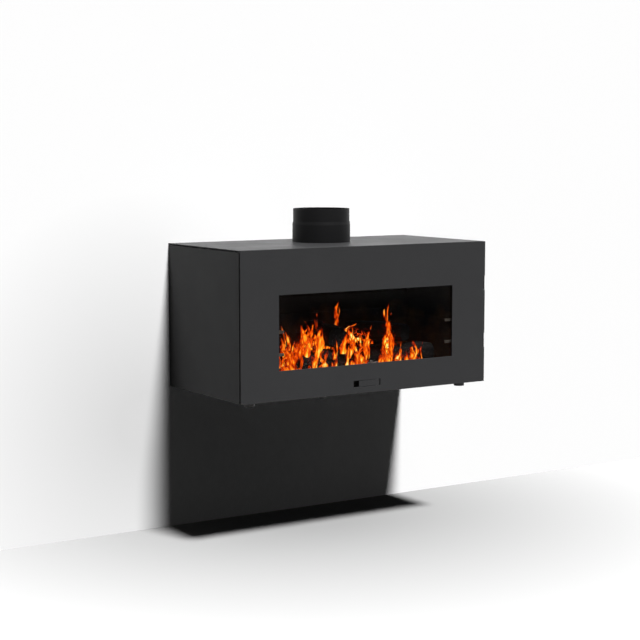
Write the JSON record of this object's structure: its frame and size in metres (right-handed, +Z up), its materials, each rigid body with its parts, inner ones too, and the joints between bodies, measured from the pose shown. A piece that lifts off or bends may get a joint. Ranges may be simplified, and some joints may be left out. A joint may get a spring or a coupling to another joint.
{
  "type": "wall-hung fireplace",
  "caption": "Wall-hung steel wood-burning fireplace: a plain box with a full-front glazed door, flush lever, lined fire chamber, top flue collar and low feet.",
  "frame": {"origin": "centre of the box's footprint, on the plane of the feet's soles", "axes": "+X to the right seen from the front, +Y back towards the wall, +Z up"},
  "size_m": [1, 0.5, 0.635],
  "materials": {
    "satin_paint": "satin dark grey heat-resistant powder paint",
    "heat_paint": "matt black heat paint",
    "flue_paint": "matt black heat paint on the flue",
    "lining": "sooted vermiculite board",
    "charred_wood": "bark and split wood, partly charred",
    "glass": "clear glass ceramic",
    "rope": "woven glass-fibre rope",
    "tape": "woven flat sealing tape",
    "bright_steel": "bright steel",
    "zinc_steel": "zinc-plated steel",
    "black_knob": "black turned steel"
  },
  "bodies": {
    "stove": {"air_duct": "heat_paint", "air_inlet_spigot": "heat_paint", "air_slide_rails": "zinc_steel", "back_lining_lower": "lining", "back_lining_middle": "lining", "back_lining_upper": "lining", "back_panel_screws": "bright_steel", "back_ties": "heat_paint", "baffle_plate": "lining", "casing_back": "satin_paint", "casing_bottom": "satin_paint", "casing_left": "satin_paint", "casing_right": "satin_paint", "casing_top": "satin_paint", "feet": "black_knob", "firebox_back": "heat_paint", "firebox_floor": "heat_paint", "firebox_front_frame": "heat_paint", "firebox_left": "heat_paint", "firebox_right": "heat_paint", "firebox_roof": "heat_paint", "firebox_stands": "heat_paint", "flue_collar": "flue_paint", "flue_spigot": "flue_paint", "hanging_hooks": "zinc_steel", "hearth_left": "lining", "hearth_right": "lining", "hinge_leaves_casing": "zinc_steel", "hinge_pins": "bright_steel", "latch_keeper": "heat_paint", "left_lining_lower": "lining", "left_lining_middle": "lining", "left_lining_upper": "lining", "log_back": "charred_wood", "log_front": "charred_wood", "log_right": "charred_wood", "log_upper_left": "charred_wood", "log_upper_right": "charred_wood", "right_lining_lower": "lining", "right_lining_middle": "lining", "right_lining_upper": "lining", "wall_rail": "zinc_steel", "wall_spacers": "zinc_steel"},
    "door": {"door_front_panel": "satin_paint", "door_frame": "heat_paint", "door_glass": "glass", "glass_seal": "tape", "glass_clips": "bright_steel", "glass_retaining_strips": "zinc_steel", "glass_screws": "bright_steel", "door_rope_seal": "rope", "hinge_leaves_door": "zinc_steel", "handle_pocket": "heat_paint", "latch_guides": "zinc_steel"},
    "handle": {"handle_lever": "satin_paint", "handle_shaft": "bright_steel", "drive_arm": "zinc_steel"},
    "latch": {"latch_bar": "zinc_steel"},
    "air_control": {"air_slide": "zinc_steel", "air_knob": "black_knob"}
  },
  "joints": [
    {"name": "door_swing", "type": "hinge", "parent": "stove", "child": "door", "pos_m": [0.4965, -0.2465, 0.268], "axis": [0, 0, 1], "range_deg": [0, 110]},
    {"name": "handle_swing", "type": "hinge", "parent": "door", "child": "handle", "pos_m": [0.04, -0.2415, 0.051], "axis": [0, 0, 1], "range_deg": [0, 50]},
    {"name": "latch_slide", "type": "slide", "parent": "door", "child": "latch", "axis": [1, 0, 0], "range_m": [-0.0101, 0]},
    {"name": "air_slide", "type": "slide", "parent": "stove", "child": "air_control", "axis": [1, 0, 0], "range_m": [0, 0.03]}
  ],
  "couplings": [
    {"joint": "latch_slide", "follows": "handle_swing", "m_per_rad": -0.011459}
  ]
}
